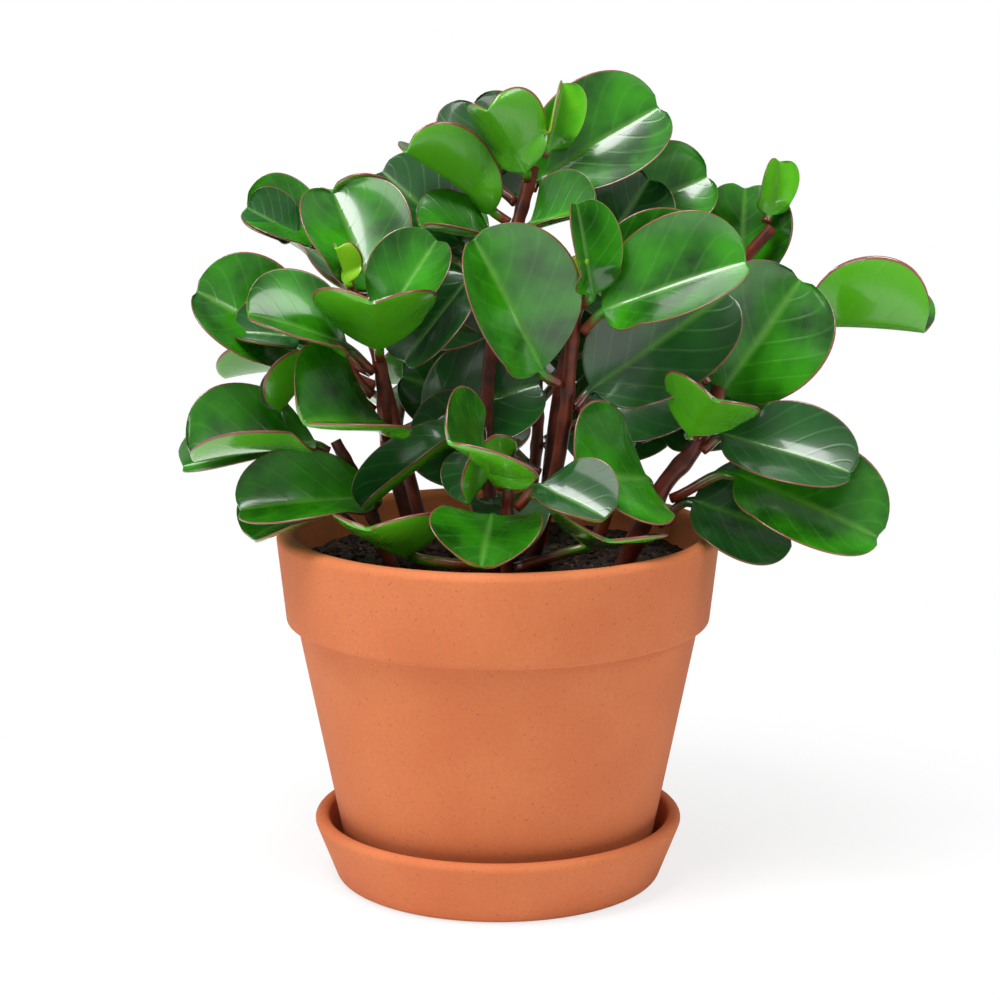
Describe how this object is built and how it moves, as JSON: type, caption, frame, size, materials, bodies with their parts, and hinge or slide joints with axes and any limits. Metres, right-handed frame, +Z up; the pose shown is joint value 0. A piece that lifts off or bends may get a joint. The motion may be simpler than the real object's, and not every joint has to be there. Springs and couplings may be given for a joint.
{
  "type": "potted house plant",
  "caption": "Bushy potted peperomia with cupped, glossy rounded leaves on red-brown stems, in a plain terracotta pot with a rolled band, standing on a terracotta saucer.",
  "frame": {"origin": "middle of the saucer's flat underside", "axes": "+Z up along the pot's axis, +X to the right and -Y towards the plant's front"},
  "size_m": [0.255, 0.1987, 0.2759],
  "materials": {
    "terracotta": "unglazed fired clay, matt",
    "soil": "loose dark potting compost, matt",
    "stem": "smooth fleshy red-brown stem",
    "leaf": "glossy waxy green leaf"
  },
  "bodies": {
    "root": {"saucer": "terracotta", "pot": "terracotta", "soil": "soil", "stem_tall": "stem", "stem_front": "stem", "stem_left": "stem", "stem_low_left": "stem", "stem_low_front": "stem", "stem_right": "stem", "stem_right_back": "stem", "stem_mid_right": "stem", "stem_back_left": "stem", "stem_back": "stem", "leaf_tall_01": "leaf", "leaf_tall_02": "leaf", "leaf_tall_03": "leaf", "leaf_tall_04": "leaf", "leaf_tall_05": "leaf", "leaf_tall_06": "leaf", "leaf_tall_07": "leaf", "leaf_tall_08": "leaf", "leaf_tall_09": "leaf", "leaf_tall_10": "leaf", "leaf_front_01": "leaf", "leaf_front_02": "leaf", "leaf_front_03": "leaf", "leaf_front_04": "leaf", "leaf_front_05": "leaf", "leaf_left_01": "leaf", "leaf_left_02": "leaf", "leaf_left_03": "leaf", "leaf_left_04": "leaf", "leaf_left_05": "leaf", "leaf_left_06": "leaf", "leaf_left_07": "leaf", "leaf_low_left_01": "leaf", "leaf_low_left_02": "leaf", "leaf_low_left_03": "leaf", "leaf_low_left_04": "leaf", "leaf_low_front_01": "leaf", "leaf_low_front_02": "leaf", "leaf_low_front_03": "leaf", "leaf_low_front_04": "leaf", "leaf_low_front_05": "leaf", "leaf_right_01": "leaf", "leaf_right_02": "leaf", "leaf_right_03": "leaf", "leaf_right_04": "leaf", "leaf_right_05": "leaf", "leaf_right_06": "leaf", "leaf_right_back_01": "leaf", "leaf_right_back_02": "leaf", "leaf_right_back_03": "leaf", "leaf_mid_right_01": "leaf", "leaf_mid_right_02": "leaf", "leaf_back_left_01": "leaf", "leaf_back_left_02": "leaf", "leaf_back_01": "leaf", "leaf_back_02": "leaf", "leaf_back_03": "leaf"}
  },
  "joints": []
}
